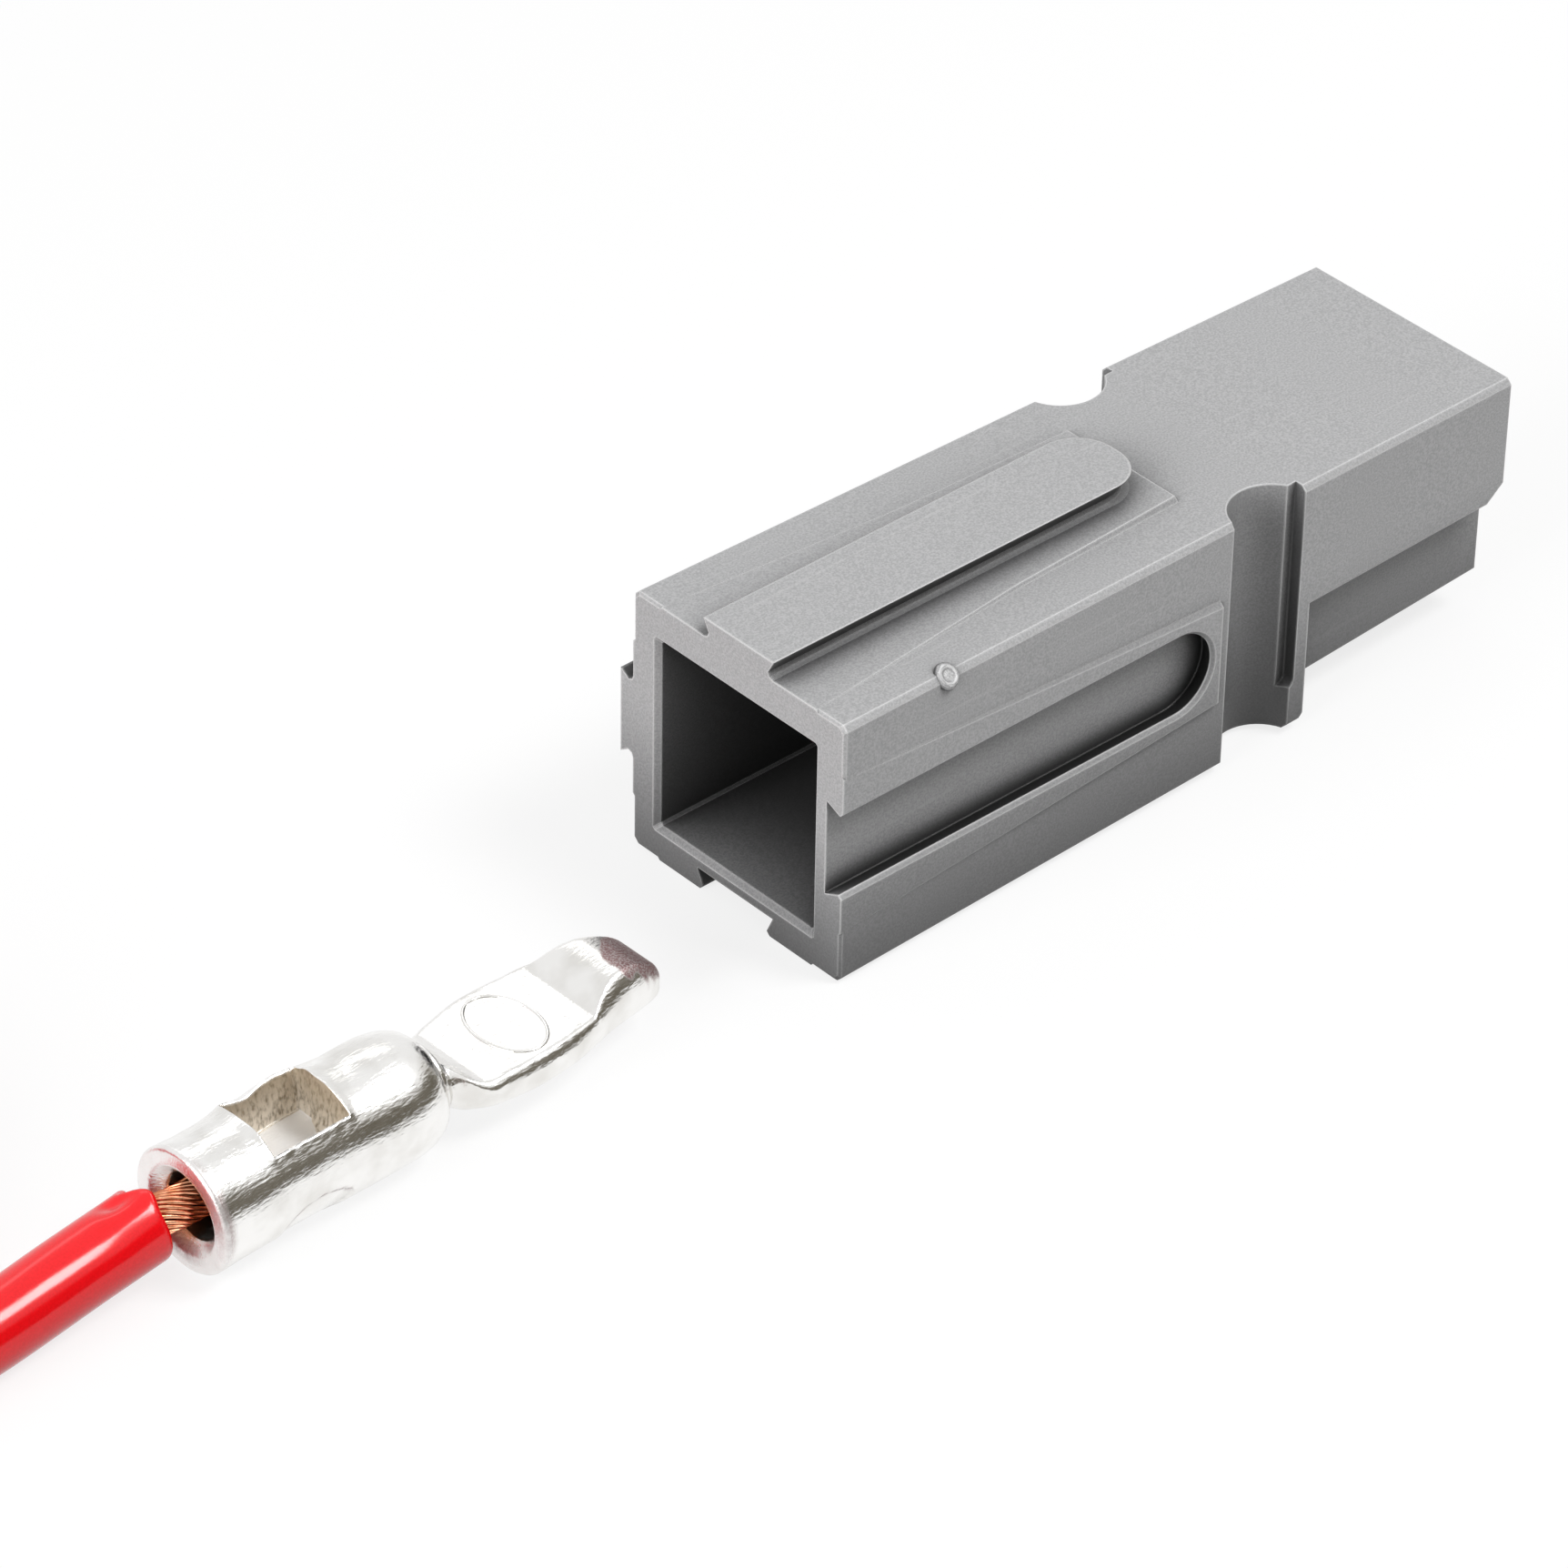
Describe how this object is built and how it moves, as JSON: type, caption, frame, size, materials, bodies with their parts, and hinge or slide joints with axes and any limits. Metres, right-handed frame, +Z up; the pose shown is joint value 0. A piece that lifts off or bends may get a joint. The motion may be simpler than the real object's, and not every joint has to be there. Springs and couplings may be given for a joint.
{
  "type": "genderless power connector",
  "caption": "Single-pole genderless power connector: moulded housing with dovetail keys and half hood, its crimped flat-wiping contact and insulated lead laid out behind it.",
  "frame": {"origin": "middle of the underside of the box round the housing and the contact together, on the surface that they lie on", "axes": "+X from the cable entry to the mating end, +Y to the side with the rib, +Z up, away from the face that the housing rests on"},
  "size_m": [0.138, 0.0465, 0.0169],
  "materials": {
    "housing_plastic": "moulded polycarbonate, satin with a fine grain",
    "spring_steel": "cold-rolled stainless strip",
    "silver_plate": "silver plate over copper, bright, slightly drawn along its length",
    "bare_copper": "bare copper strands, bright",
    "insulation": "extruded red vinyl, glossy"
  },
  "bodies": {
    "root": {"housing": "housing_plastic", "leaf_spring": "spring_steel", "contact": "silver_plate", "conductor": "bare_copper", "lead": "insulation", "lead_coil": "insulation"}
  },
  "joints": []
}
